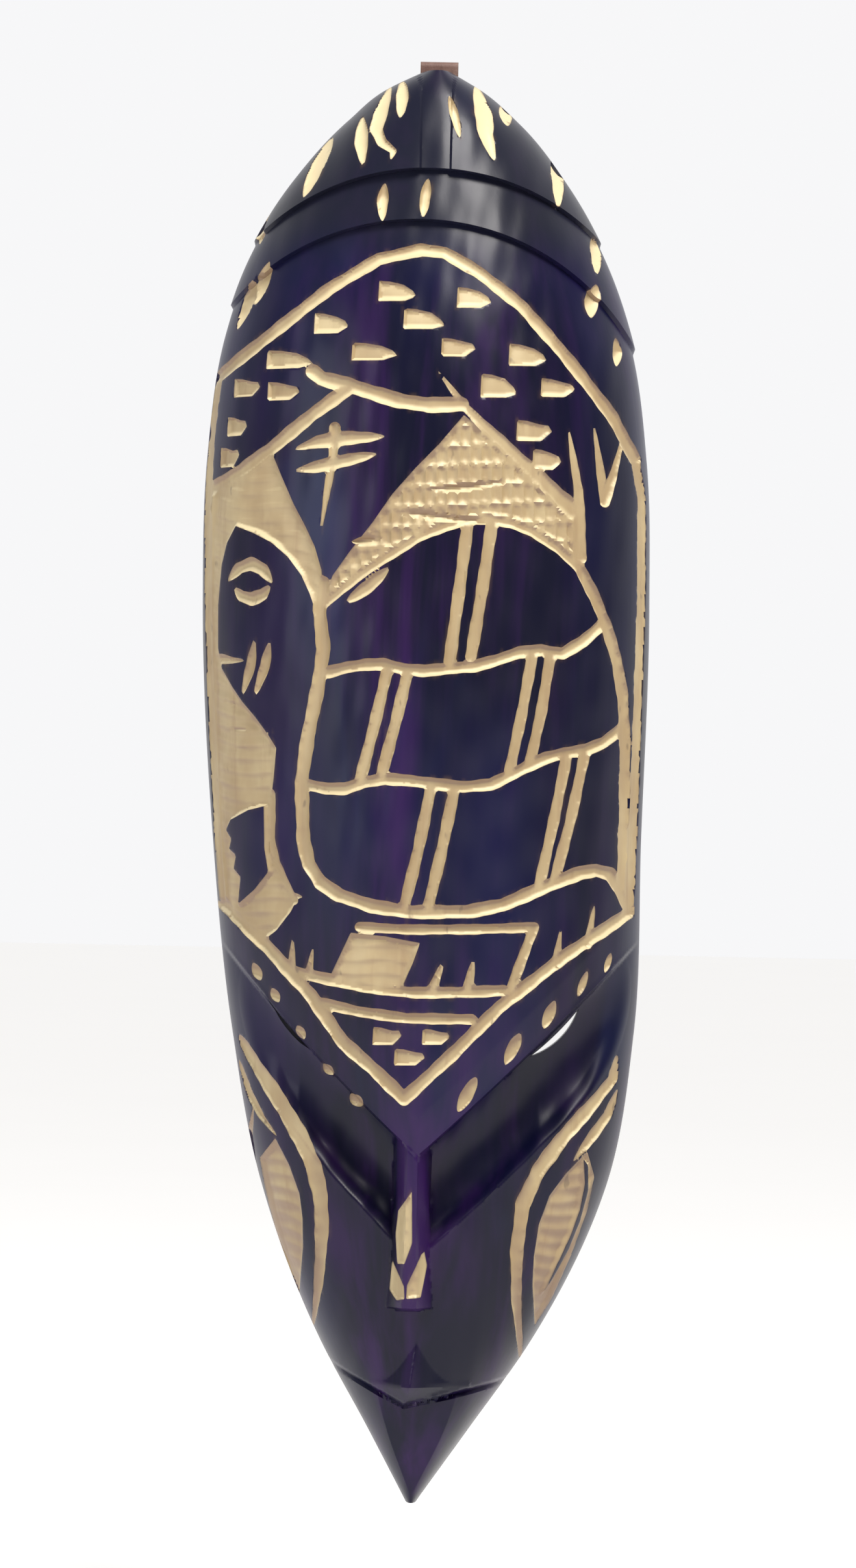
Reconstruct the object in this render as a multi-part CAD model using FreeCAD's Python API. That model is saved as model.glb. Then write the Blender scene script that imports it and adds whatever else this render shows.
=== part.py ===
import FreeCAD, Part  # isort: skip
import math
import os

"""Carved wooden wall mask with a leather and wire hanger on its back. Millimetres.

The mask is cut from one block: a long hood-shaped shell, hollowed from behind.
Shapes are drawn in the carver's frame: X to the mask's left hand side as seen
from the front (right of the viewer), Z up from the point of the chin, and Y away
from the viewer, with the wall at Y = 0. On export they move to the part's frame,
whose origin is the middle of the hanger's hinge line.
"""

Vec = FreeCAD.Vector

# ---- overall size -------------------------------------------------------------
BODY_HEIGHT = 397.0
CHIN_TIP_HALF_WIDTH = 1.6
BACK_OVERRUN = 1.0
CUT_MARGIN = 20.0

# Outline and depth of the block at the forehead's level: height above the chin,
# reach to the left, reach to the right, depth of the brow and forehead, depth of
# the lower face. The two sides differ a little, as the block was cut by eye.
STATIONS = [
    (0.0, CHIN_TIP_HALF_WIDTH, CHIN_TIP_HALF_WIDTH, 10.0, 10.0),
    (20.0, 12.5, 15.5, 22.0, 22.0),
    (45.0, 26.5, 32.5, 32.0, 31.0),
    (88.0, 43.5, 52.5, 43.0, 37.0),
    (131.0, 52.5, 59.5, 47.0, 39.5),
    (185.0, 59.0, 60.5, 49.5, 42.0),
    (250.0, 63.0, 61.5, 50.0, 44.0),
    (290.0, 62.5, 60.0, 48.5, 44.0),
    (324.0, 58.0, 54.5, 43.0, 40.0),
    (346.0, 50.5, 46.5, 36.5, 35.0),
    (367.0, 38.0, 34.5, 29.0, 28.0),
    (384.0, 23.0, 20.5, 22.0, 22.0),
    (393.0, 12.0, 9.5, 17.0, 17.0),
    (BODY_HEIGHT, 3.6, 2.2, 14.0, 14.0),
]
SECTION_POINTS = 9
FACE_SIDE_INSET = 0.4

# ---- hair in two tiers above the forehead ---------------------------------------
BAND_RISE = 2.4
BAND_SIDE = 1.0
CAP_RISE = 5.4
CAP_SIDE = 2.0
BAND_EDGE = ((-64.0, 320.0), (-0.9, 354.0), (64.0, 298.0))
CAP_EDGE = ((-64.0, 326.0), (1.0, 368.3), (64.0, 315.0))
PARTING_HALF_WIDTH = 3.6
PARTING_DEPTH = 0.9

# ---- brow, eye sockets and slits ------------------------------------------------
BROW_POINT_Z = 98.0
BROW_LEFT_END = (-66.0, 168.0)
BROW_RIGHT_END = (66.0, 164.0)
BROW_SAG = 1.5
SOCKET_RADIUS = 12.5
SOCKET_DROP = 13.5
SOCKET_INNER = (5.0, -42.0)
SOCKET_MIDDLE = (33.0, -37.0)
SOCKET_OUTER = (76.0, -18.0)
SLIT_LENGTH = 19.0
SLIT_WIDTH = 2.6
SLIT_FROM_POINT = 50.0
SLIT_BELOW_BROW = 0.8
SLIT_MOUTH_Y = -28.0
LEFT_SLIT_LEAN = 0.34

# ---- nose, mouth and chin -------------------------------------------------------
NOSE_MIDDLE_X = -1.5
NOSE_TOP_Z = 112.0
NOSE_BASE_Z = 56.0
NOSE_TOP_HALF_WIDTH = 4.2
NOSE_BASE_HALF_WIDTH = 6.6
NOSE_TOP_RISE = 5.0
NOSE_BASE_RISE = 8.0
NOSE_CREST_HALF_WIDTH = 1.2
NOSE_ROOT = 14.0
LIP_EDGE_Z = 28.0
LIP_TOP = (1.0, -31.2, 48.5)
LIP_LEFT = (-14.5, -20.5, 34.5)
LIP_RIGHT = (17.5, -21.5, 34.0)
LIP_PEAK = (-1.0, -31.0, 33.0)
LIP_LOW = (-2.5, -26.5, LIP_EDGE_Z)
LIP_ROOT = (0.0, -12.0, 37.0)
MOUTH_CORNER_LEFT = (-23.0, 38.5)
MOUTH_CORNER_RIGHT = (29.0, 35.5)
MOUTH_CUT_DEPTH = 2.6
MOUTH_CUT_HEIGHT = 3.4
MOUTH_MIDDLE_Y = -26.0
MOUTH_CORNER_Y = -7.0
CHIN_FRONT = ((0.0, -22.5, 30.0), (-5.0, -15.0, 11.0), (5.0, -15.0, 11.0))
CHIN_LEFT = ((-13.5, -19.0, 30.5), (-1.5, -12.0, 2.0), (-19.5, -4.0, 28.0))
CHIN_RIGHT = ((20.5, -19.5, 30.0), (1.5, -12.0, 2.0), (23.5, -4.0, 27.0))

# ---- hollow in the back ---------------------------------------------------------
HOLLOW_STATIONS = [
    (38.0, 4.0, 5.0, 3.0),
    (52.0, 16.0, 20.0, 14.0),
    (88.0, 31.5, 40.0, 22.5),
    (131.0, 40.5, 47.0, 25.5),
    (185.0, 47.0, 48.5, 29.5),
    (250.0, 51.0, 49.5, 31.0),
    (290.0, 50.5, 48.0, 30.0),
    (322.0, 44.5, 42.0, 24.0),
    (343.0, 31.0, 29.0, 15.0),
    (354.0, 15.0, 14.0, 6.0),
]

# ---- hanger: leather tab, wire ring, two tacks ----------------------------------
SEAT_DEPTH = 6.5
SEAT_HALF_WIDTH = 9.5
SEAT_LOW_Z = 360.0
LEATHER = 1.4
TAB_WIDTH = 10.5
TAB_LOW_Z = 363.0
TAB_TOP_Z = 400.4
TAB_BULGE = 3.6
HINGE_Z = 394.5
WIRE_RADIUS = 0.9
HINGE_CLEARANCE = 0.1
RING_SIDE_GAP = 0.5
RING_ARM = 6.5
RING_REST_TILT = 8.0
TACK_HEIGHTS = (376.5, 368.0)
TACK_HEAD_RADIUS = 3.2
TACK_HEAD_HEIGHT = 1.2
TACK_SHANK_RADIUS = 0.8
TACK_LENGTH = 11.0
TACK_POINT = 2.5
TACK_CLEARANCE = 0.05

TUNNEL_RADIUS = WIRE_RADIUS + HINGE_CLEARANCE
HINGE_Y = -SEAT_DEPTH + LEATHER + TUNNEL_RADIUS
TAB_REAR_Y = -SEAT_DEPTH + 2 * LEATHER
RING_HALF_WIDTH = TAB_WIDTH / 2 + RING_SIDE_GAP + WIRE_RADIUS


def section_wire(z, left, right, depth):
    """A half-oval section: curved front, straight back just past the wall plane."""
    points = []
    for i in range(SECTION_POINTS):
        angle = math.pi * i / (SECTION_POINTS - 1)
        reach = left if angle < math.pi / 2 else right
        points.append(Vec(-reach * math.cos(angle), -depth * math.sin(angle), z))
    points[0].y = points[-1].y = BACK_OVERRUN
    front = Part.BSplineCurve()
    front.interpolate(Points=points, Parameters=list(range(SECTION_POINTS)))
    back = Part.LineSegment(points[-1], points[0])
    return Part.Wire([front.toShape(), back.toShape()])


def hood(stations):
    """A smooth solid through half-oval sections."""
    return Part.makeLoft([section_wire(*s) for s in stations], True, False)


def forehead_hood(rise=0.0, side=0.0):
    """The block at the forehead's level, or raised to a tier of the hair."""
    return hood([(z, l + side, r + side, d + rise) for z, l, r, d, _ in STATIONS])


def face_hood():
    """The lower face: shallower, and a hair narrower so the two never coincide."""
    inset = FACE_SIDE_INSET
    return hood([(z, l - inset, r - inset, f) for z, l, r, _, f in STATIONS])


def slab(profile_edges, lean=Vec(0, 0, 0)):
    """A block through the whole depth, cut to an outline in the front view.

    A lean is how far the block shifts sideways for each mm that it runs back.
    """
    face = Part.Face(Part.Wire(profile_edges))
    run = Vec(0, 1, 0) + lean
    whole = face.extrude(run * 200.0)
    whole.translate(run * -150.0)
    return whole


def front_point(x, z, y=0.0):
    return Vec(x, y, z)


def polyline(points):
    """Straight edges through points, closed."""
    pairs = zip(points, points[1:] + points[:1])
    return [Part.LineSegment(a, b).toShape() for a, b in pairs]


def above_arc(arc_points):
    """Everything above a three-point arc in the front view."""
    left, crown, right = (front_point(*p) for p in arc_points)
    top_z = BODY_HEIGHT + CUT_MARGIN
    far = 90.0
    corners = [
        right,
        front_point(far, right.z),
        front_point(far, top_z),
        front_point(-far, top_z),
        front_point(-far, left.z),
        left,
    ]
    edges = [Part.LineSegment(a, b).toShape() for a, b in zip(corners, corners[1:])]
    return slab([Part.Arc(left, crown, right).toShape()] + edges)


def below_brow():
    """Everything below the two brow curves that meet over the nose."""
    low_z = -CUT_MARGIN
    far = 90.0
    point = front_point(0, BROW_POINT_Z)
    ends = [front_point(*BROW_LEFT_END), front_point(*BROW_RIGHT_END)]
    curves = [brow_arc(end, point) for end in ends]
    corners = [
        ends[1],
        front_point(far, ends[1].z),
        front_point(far, low_z),
        front_point(-far, low_z),
        front_point(-far, ends[0].z),
        ends[0],
    ]
    edges = [Part.LineSegment(a, b).toShape() for a, b in zip(corners, corners[1:])]
    return slab([c.toShape() for c in curves] + edges)


def brow_arc(end, point):
    """One brow's lower edge, sagging a little from the straight line."""
    middle = (end + point) * 0.5
    along = (point - end).normalize()
    down = Vec(along.z, 0, -along.x)
    if down.z > 0:
        down = down * -1
    return Part.Arc(end, middle + down * BROW_SAG, point)


def socket(end, side):
    """A round-bottomed channel under one brow, running out towards the side."""
    slope = (end[1] - BROW_POINT_Z) / abs(end[0])
    inner, middle, outer = (
        Vec(side * x, y, BROW_POINT_Z - SOCKET_DROP + slope * x)
        for x, y in (SOCKET_INNER, SOCKET_MIDDLE, SOCKET_OUTER)
    )
    path = Part.Arc(inner, middle, outer)
    start = path.value(path.FirstParameter)
    tangent = path.tangent(path.FirstParameter)[0]
    ring = Part.Wire(Part.makeCircle(SOCKET_RADIUS, start, tangent))
    return Part.Wire(path.toShape()).makePipeShell([ring], True, True)


def slit(end, side):
    """A crescent cut right through the wall, just under the brow."""
    point = front_point(0, BROW_POINT_Z)
    along = (front_point(*end) - point).normalize()
    down = Vec(along.z, 0, -along.x)
    if down.z > 0:
        down = down * -1
    centre = point + along * SLIT_FROM_POINT + down * (SLIT_BELOW_BROW + BROW_SAG)
    lean = down * -LEFT_SLIT_LEAN if side < 0 else Vec(0, 0, 0)
    centre = centre - lean * SLIT_MOUTH_Y
    a = centre - along * (SLIT_LENGTH / 2)
    b = centre + along * (SLIT_LENGTH / 2)
    upper = Part.Arc(a, centre + down * 0.6, b)
    lower = Part.Arc(b, centre + down * (0.6 + SLIT_WIDTH), a)
    return slab([upper.toShape(), lower.toShape()], lean)


def surface_depth(z, column):
    """Depth of the block's crest at a height, by straight interpolation."""
    for low, high in zip(STATIONS, STATIONS[1:]):
        if low[0] <= z <= high[0]:
            share = (z - low[0]) / (high[0] - low[0])
            return low[column] + share * (high[column] - low[column])
    raise ValueError(f"no station spans height {z}")


def nose():
    """A narrow tapering ridge with sloping flanks and a flat crest."""
    wires = []
    sizes = [
        (NOSE_BASE_Z, NOSE_BASE_HALF_WIDTH, NOSE_BASE_RISE),
        (NOSE_TOP_Z, NOSE_TOP_HALF_WIDTH, NOSE_TOP_RISE),
    ]
    for z, half, rise in sizes:
        face_y = -surface_depth(z, 4)
        crest = NOSE_CREST_HALF_WIDTH
        corners = [
            Vec(-half - 1.5, face_y + NOSE_ROOT, z),
            Vec(-half, face_y, z),
            Vec(-crest, face_y - rise, z),
            Vec(crest, face_y - rise, z),
            Vec(half, face_y, z),
            Vec(half + 1.5, face_y + NOSE_ROOT, z),
        ]
        for corner in corners:
            corner.x += NOSE_MIDDLE_X
        wires.append(Part.Wire(polyline(corners)))
    return Part.makeLoft(wires, True, True)


def solid_from_faces(faces):
    """A closed solid from lists of corner points."""
    shells = Part.Shell([Part.Face(Part.Wire(polyline(f))) for f in faces])
    return Part.makeSolid(shells)


def lips():
    """A four-sided peak over the mouth, its lower edge the mouth's line."""
    peak, root = Vec(*LIP_PEAK), Vec(*LIP_ROOT)
    ring = [Vec(*p) for p in (LIP_TOP, LIP_RIGHT, LIP_LOW, LIP_LEFT)]
    faces = []
    for a, b in zip(ring, ring[1:] + ring[:1]):
        faces.append([a, b, peak])
        faces.append([b, a, root])
    return solid_from_faces(faces)


def chin_planes():
    """Blocks that slice the chin to a flat front and two side bevels."""
    blocks = []
    for corners in (CHIN_FRONT, CHIN_LEFT, CHIN_RIGHT):
        first, second, third = (Vec(*c) for c in corners)
        normal = (second - first).cross(third - first)
        if normal.y > 0:
            normal = normal * -1
        block = Part.makeBox(160, 60, 160, Vec(-80, 0, -80))
        turn = FreeCAD.Rotation(Vec(0, 1, 0), normal)
        block.Placement = FreeCAD.Placement(first, turn)
        blocks.append(block.common(below_mouth()))
    return blocks


def below_mouth():
    """Everything below the mouth's line, which rises to both corners."""
    left = front_point(*MOUTH_CORNER_LEFT)
    right = front_point(*MOUTH_CORNER_RIGHT)
    middle = front_point(LIP_LOW[0], LIP_EDGE_Z)
    corners = [left, middle, right, front_point(60, 45), front_point(60, -30)]
    corners += [front_point(-60, -30), front_point(-60, 50)]
    return slab(polyline(corners))


def mouth_cut(corner):
    """A V-shaped cut from the middle of the mouth out to one corner."""
    middle = Vec(0, MOUTH_MIDDLE_Y, LIP_EDGE_Z)
    end = Vec(corner[0] * 1.1, MOUTH_CORNER_Y, corner[1] + 1.0)
    along = (end - middle).normalize()
    rise = Vec(0, 0, MOUTH_CUT_HEIGHT / 2)
    front = Vec(0, -12.0, 0)
    back = Vec(0, MOUTH_CUT_DEPTH + 2.0, 0)
    base = [middle + front + rise * 3, middle + back, middle + front - rise * 3]
    face = Part.Face(Part.Wire(polyline(base)))
    return face.extrude(along * (end - middle).Length)


def hanger_seat():
    """The flat place cut in the back of the crown for the hanger."""
    height = BODY_HEIGHT + CUT_MARGIN - SEAT_LOW_Z
    width = 2 * SEAT_HALF_WIDTH
    return Part.makeBox(width, 40, height, Vec(-SEAT_HALF_WIDTH, -SEAT_DEPTH, SEAT_LOW_Z))


def parting():
    """The flat shallow strip down the middle of the cap."""
    strip = Part.makeBox(
        2 * PARTING_HALF_WIDTH, 80, 60, Vec(-PARTING_HALF_WIDTH, -80, CAP_EDGE[1][1] - 4)
    )
    return strip.cut(forehead_hood(CAP_RISE - PARTING_DEPTH, CAP_SIDE))


def tack_hole(z, radius, depth):
    return Part.makeCylinder(radius, depth, Vec(0, TAB_REAR_Y + 1, z), Vec(0, -1, 0))


def mask_body():
    """The carved block: hood, hair, brow, sockets, nose, mouth and hollow."""
    body = forehead_hood()
    lower = below_brow().cut(face_hood())
    body = body.cut(lower)
    body = body.fuse(nose().common(forehead_hood(2.0)))
    body = body.cut(socket(BROW_LEFT_END, -1)).cut(socket(BROW_RIGHT_END, 1))
    body = body.fuse(nose().common(forehead_hood(2.0)))
    for wedge in chin_planes():
        body = body.cut(wedge)
    body = body.fuse(lips())
    for corner in (MOUTH_CORNER_LEFT, MOUTH_CORNER_RIGHT):
        body = body.cut(mouth_cut(corner))
    body = body.fuse(forehead_hood(BAND_RISE, BAND_SIDE).common(above_arc(BAND_EDGE)))
    body = body.fuse(forehead_hood(CAP_RISE, CAP_SIDE).common(above_arc(CAP_EDGE)))
    body = body.cut(parting())
    body = body.cut(hood(HOLLOW_STATIONS))
    body = body.cut(Part.makeBox(300, 20, 600, Vec(-150, 0, -100)))
    body = body.cut(slit(BROW_LEFT_END, -1)).cut(slit(BROW_RIGHT_END, 1))
    body = body.cut(hanger_seat())
    for z in TACK_HEIGHTS:
        body = body.cut(tack_hole(z, TACK_SHANK_RADIUS + TACK_CLEARANCE, TACK_LENGTH + 2))
    return body


def hanger_tab():
    """A leather strip doubled over, its layers glued above and below the ring's bar."""
    front_y = -SEAT_DEPTH
    spread = TAB_BULGE
    fold = LEATHER
    rear_low = Vec(0, TAB_REAR_Y, HINGE_Z - spread)
    rear_high = Vec(0, TAB_REAR_Y, HINGE_Z + spread)
    rear_top = Vec(0, TAB_REAR_Y, TAB_TOP_Z - fold)
    front_top = Vec(0, front_y, TAB_TOP_Z - fold)
    bulge = Vec(0, HINGE_Y + TUNNEL_RADIUS + LEATHER, HINGE_Z)
    corners = [
        rear_low,
        Vec(0, TAB_REAR_Y, TAB_LOW_Z),
        Vec(0, front_y, TAB_LOW_Z),
        front_top,
    ]
    edges = [Part.LineSegment(a, b).toShape() for a, b in zip(corners, corners[1:])]
    crest = Vec(0, (front_y + TAB_REAR_Y) / 2, TAB_TOP_Z)
    edges.append(Part.Arc(front_top, crest, rear_top).toShape())
    edges.append(Part.LineSegment(rear_top, rear_high).toShape())
    for start, end in ((rear_high, bulge), (bulge, rear_low)):
        ease = (end - start).z * 0.5
        curve = Part.BezierCurve()
        curve.setPoles([start, start + Vec(0, 0, ease), end - Vec(0, 0, ease), end])
        edges.append(curve.toShape())
    strip = Part.Face(Part.Wire(edges)).extrude(Vec(TAB_WIDTH, 0, 0))
    strip.translate(Vec(-TAB_WIDTH / 2, 0, 0))
    tunnel = Part.makeCylinder(
        TUNNEL_RADIUS, TAB_WIDTH + 2, Vec(-TAB_WIDTH / 2 - 1, HINGE_Y, HINGE_Z), Vec(1, 0, 0)
    )
    strip = strip.cut(tunnel)
    for z in TACK_HEIGHTS:
        strip = strip.cut(tack_hole(z, TACK_SHANK_RADIUS + TACK_CLEARANCE, TACK_LENGTH))
    return strip


def hanger_ring():
    """A wire D: a straight bar in the leather's fold, and a round bow below."""
    half = RING_HALF_WIDTH
    corner = 1.3
    a = Vec(-half + corner, 0, 0)
    b = Vec(half - corner, 0, 0)
    quarter = corner * (1 - math.sqrt(0.5))
    turn_b = Vec(half - quarter, 0, -quarter)
    turn_a = Vec(-half + quarter, 0, -quarter)
    right_top, right_low = Vec(half, 0, -corner), Vec(half, 0, -RING_ARM)
    left_top, left_low = Vec(-half, 0, -corner), Vec(-half, 0, -RING_ARM)
    edges = [
        Part.LineSegment(a, b).toShape(),
        Part.Arc(b, turn_b, right_top).toShape(),
        Part.LineSegment(right_top, right_low).toShape(),
        Part.Arc(right_low, Vec(0, 0, -RING_ARM - half), left_low).toShape(),
        Part.LineSegment(left_low, left_top).toShape(),
        Part.Arc(left_top, turn_a, a).toShape(),
    ]
    profile = Part.Wire(Part.makeCircle(WIRE_RADIUS, a, Vec(1, 0, 0)))
    ring = Part.Wire(edges).makePipeShell([profile], True, False)
    ring.rotate(Vec(0, 0, 0), Vec(1, 0, 0), RING_REST_TILT)
    ring.translate(Vec(0, HINGE_Y, HINGE_Z))
    return ring


def tack(z):
    """A domed tack, driven through the leather into the wood."""
    head_y = TAB_REAR_Y
    radius = (TACK_HEAD_RADIUS**2 + TACK_HEAD_HEIGHT**2) / (2 * TACK_HEAD_HEIGHT)
    ball = Part.makeSphere(radius, Vec(0, head_y + TACK_HEAD_HEIGHT - radius, z))
    cap = ball.common(Part.makeBox(40, 40, 40, Vec(-20, head_y, z - 20)))
    straight = TACK_LENGTH - TACK_POINT
    shank = Part.makeCylinder(TACK_SHANK_RADIUS, straight, Vec(0, head_y, z), Vec(0, -1, 0))
    tip = Part.makeCone(
        TACK_SHANK_RADIUS, 0.1, TACK_POINT, Vec(0, head_y - straight, z), Vec(0, -1, 0)
    )
    return cap.fuse(shank).fuse(tip).removeSplitter()


def export(name, shape):
    """Moves a finished shape to the part's frame and writes its STEP file."""
    shape = shape.copy()
    shape.translate(Vec(0, -HINGE_Y, -HINGE_Z))
    shape.exportStep(os.path.join("parts", name + ".step"))
    box = shape.BoundBox
    print(
        f"{name}: valid {shape.isValid()} solids {len(shape.Solids)} "
        f"volume {shape.Volume:.0f} box {box.XLength:.1f} {box.YLength:.1f} {box.ZLength:.1f}"
    )


def main():
    os.makedirs("parts", exist_ok=True)
    export("mask_body", mask_body())
    export("hanger_tab", hanger_tab())
    export("hanger_ring", hanger_ring())
    export("upper_tack", tack(TACK_HEIGHTS[0]))
    export("lower_tack", tack(TACK_HEIGHTS[1]))


main()
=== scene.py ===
# A carved wooden wall mask: the block with its cut picture, and the hanger on its back.
# Lengths of the mask are in mm, from the point of the chin: x to the viewer's right,
# z up and d out of the wall. Blender gets metres, in the CAD's own frame.
import bpy
import math
import numpy as np
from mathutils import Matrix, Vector


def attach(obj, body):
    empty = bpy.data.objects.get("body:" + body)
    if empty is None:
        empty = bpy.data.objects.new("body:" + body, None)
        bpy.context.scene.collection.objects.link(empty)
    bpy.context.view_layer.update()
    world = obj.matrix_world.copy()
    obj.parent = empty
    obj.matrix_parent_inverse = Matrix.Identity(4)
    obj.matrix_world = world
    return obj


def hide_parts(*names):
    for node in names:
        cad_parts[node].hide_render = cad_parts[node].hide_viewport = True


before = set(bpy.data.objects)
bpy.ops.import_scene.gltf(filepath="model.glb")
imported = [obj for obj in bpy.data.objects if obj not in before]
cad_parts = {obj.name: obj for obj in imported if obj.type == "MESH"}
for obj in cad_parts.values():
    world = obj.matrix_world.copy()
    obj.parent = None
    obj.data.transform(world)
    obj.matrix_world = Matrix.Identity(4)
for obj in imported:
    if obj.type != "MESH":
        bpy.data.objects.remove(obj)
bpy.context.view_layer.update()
mm = 0.001


# ---- shader writing ----

class Wire:
    # a socket, or a number, that can be written with as in a formula
    def __init__(self, shader, socket):
        self.shader = shader
        self.socket = socket

    def math(self, operation, *others):
        return self.shader.add("ShaderNodeMath", {"operation": operation}, [self, *others])

    def __add__(self, other): return self.math("ADD", other)
    def __radd__(self, other): return self.math("ADD", other)
    def __sub__(self, other): return self.math("SUBTRACT", other)
    def __rsub__(self, other): return Wire.reversed(self, "SUBTRACT", other)
    def __mul__(self, other): return self.math("MULTIPLY", other)
    def __rmul__(self, other): return self.math("MULTIPLY", other)
    def __truediv__(self, other): return self.math("DIVIDE", other)
    def __pow__(self, other): return self.math("POWER", other)

    def reversed(self, operation, other):
        return self.shader.add("ShaderNodeMath", {"operation": operation}, [other, self])

    def low(self, other): return self.math("MINIMUM", other)
    def size(self): return self.math("ABSOLUTE")

    def between(self, start, end):
        # 0 at start, 1 at end, smooth between
        sockets = {"Value": self, "From Min": start, "From Max": end}
        kind = {"interpolation_type": "SMOOTHSTEP"}
        return self.shader.add("ShaderNodeMapRange", kind, sockets, "Result")


class Shader:
    def __init__(self, name):
        self.material = bpy.data.materials.new(name)
        self.material.use_nodes = True
        self.tree = self.material.node_tree
        self.surface = self.tree.nodes["Principled BSDF"]
        place = self.add("ShaderNodeTexCoord", {}, {}, "Object")
        self.place = place
        parts = self.add("ShaderNodeSeparateXYZ", {}, [place], None)
        self.x, self.y, self.z = (Wire(self, parts.outputs[i]) for i in range(3))

    def add(self, kind, settings, sockets, output=0):
        node = self.tree.nodes.new(kind)
        for key, value in settings.items():
            setattr(node, key, value)
        named = sockets.items() if isinstance(sockets, dict) else enumerate(sockets)
        for key, value in named:
            self.feed(node.inputs[key], value)
        if output is None:
            return node
        return Wire(self, node.outputs[output])

    def feed(self, socket, value):
        if isinstance(value, Wire):
            self.tree.links.new(value.socket, socket)
        elif isinstance(value, tuple) and socket.type == "RGBA" and len(value) == 3:
            socket.default_value = (*value, 1.0)
        else:
            socket.default_value = value

    def stretched(self, x, y, z):
        return self.add("ShaderNodeVectorMath", {"operation": "MULTIPLY"}, [self.place, (x, y, z)])

    def noise(self, scale, stretch=(1, 1, 1), detail=3.0, rough=0.55, warp=0.0):
        sockets = {"Vector": self.stretched(*stretch), "Scale": scale, "Detail": detail,
                   "Roughness": rough, "Distortion": warp}
        return self.add("ShaderNodeTexNoise", {}, sockets, 0)

    def mix(self, share, first, second, blend="MIX"):
        node = self.tree.nodes.new("ShaderNodeMix")
        node.data_type = "RGBA"
        node.blend_type = blend
        self.feed(node.inputs[0], share)
        self.feed(node.inputs[6], first)
        self.feed(node.inputs[7], second)
        return Wire(self, node.outputs[2])

    def attribute(self, name):
        return self.add("ShaderNodeAttribute", {"attribute_name": name}, {}, "Fac")

    def bump(self, height, distance, strength=1.0):
        sockets = {"Height": height, "Distance": distance, "Strength": strength}
        return self.add("ShaderNodeBump", {}, sockets, 0)

    def finish(self, **sockets):
        names = {"colour": "Base Color", "rough": "Roughness", "metal": "Metallic",
                 "coat": "Coat Weight", "coatRough": "Coat Roughness", "normal": "Normal",
                 "gloss": "Specular IOR Level", "sheen": "Sheen Weight"}
        for key, value in sockets.items():
            self.feed(self.surface.inputs[names[key]], value)
        return self.material


# ---- finishes ----

stain = {
    "black": (0.0018, 0.0020, 0.013),
    "navy": (0.0040, 0.0042, 0.036),
    "violet": (0.030, 0.0065, 0.070),
    "blue": (0.008, 0.017, 0.075),
    "cap": (0.010, 0.011, 0.017),
    "rough": 0.27,
    "grain": 0.0001,
}


def stainedWood():
    s = Shader("stained wood")
    streak = s.noise(60, (1, 1, 0.09), 4.0, 0.6, 0.4)
    fine = s.noise(420, (1, 1, 0.05), 3.0, 0.6)
    cloud = s.noise(17, (1, 1, 0.45), 2.0, 0.5)
    drift = s.noise(26, (1, 1, 0.3), 3.0, 0.5, 0.6)
    base = s.mix(cloud.between(0.38, 0.68), stain["black"], stain["navy"])
    # violet stain streaks, partly painted sheen: stronger in the middle band of the face, where a broad
    # reflection falls
    middle = (1 - (s.x.size() / 0.045).low(1)) ** 1.4
    violetStreakAndSheen = streak.between(0.42, 0.7) * (0.25 + 0.75 * middle)
    base = s.mix(violetStreakAndSheen * 0.8, base, stain["violet"])
    base = s.mix(drift.between(0.55, 0.78) * 0.65, base, stain["blue"])
    hair = s.z.between(-0.0585, -0.0365)
    base = s.mix(hair * 0.75, base, stain["cap"])
    worn = s.attribute("edge")
    base = s.mix(worn * fine.between(0.45, 0.75) * 0.35, base, (0.12, 0.07, 0.035))
    rough = stain["rough"] + 0.10 * streak + 0.06 * fine
    normal = s.bump(streak * 0.6 + fine * 0.4, stain["grain"], 0.55)
    return s.finish(colour=base, rough=rough, normal=normal, gloss=0.22, coat=0.05, coatRough=0.16)


raw = {
    "straw": (0.345, 0.25, 0.13),
    "pale": (0.44, 0.345, 0.19),
    "tan": (0.26, 0.165, 0.09),
    "stained": (0.10, 0.07, 0.05),
    # shade and lit: painted shade and painted highlight for the cut walls
    "shade": (0.20, 0.125, 0.085),
    "lit": (0.72, 0.60, 0.36),
}


def rawWood():
    s = Shader("cut wood")
    grain = s.noise(230, (1, 1, 0.10), 4.0, 0.6, 0.3)
    blotch = s.noise(70, (1, 1, 0.5), 3.0, 0.6)
    speck = s.noise(330, (1, 0.6, 0.4), 2.0, 0.5)
    colour = s.mix(blotch.between(0.35, 0.7), raw["straw"], raw["pale"])
    colour = s.mix(grain.between(0.5, 0.8) * 0.55, colour, raw["tan"])
    deep = s.attribute("deep")
    # painted shade: darker towards the floor of each cut
    colour = s.mix(deep * 0.15, colour, raw["tan"])
    # painted shade on cut walls that face down and painted highlight on those that face up, as light from
    # above would fall on them
    leans = s.add("ShaderNodeTexCoord", {}, {}, "Normal")
    tilt = s.add("ShaderNodeSeparateXYZ", {}, [leans], 2)
    colour = s.mix((0 - tilt).between(0.03, 0.42) * 0.8, colour, raw["shade"])
    colour = s.mix(tilt.between(0.12, 0.48) * 0.85, colour, raw["lit"])
    rim = 1 - deep.between(0.0, 0.3)
    colour = s.mix(rim * speck.between(0.35, 0.6) * 0.6, colour, raw["stained"])
    colour = s.mix(speck.between(0.68, 0.76) * 0.5, colour, raw["stained"])
    normal = s.bump(grain, 0.00015, 0.6)
    return s.finish(colour=colour, rough=0.5 + 0.15 * grain, normal=normal, coat=0.12, coatRough=0.3)


back = {"wood": (0.23, 0.135, 0.065), "dark": (0.085, 0.045, 0.022), "stain": (0.012, 0.010, 0.014)}


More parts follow.
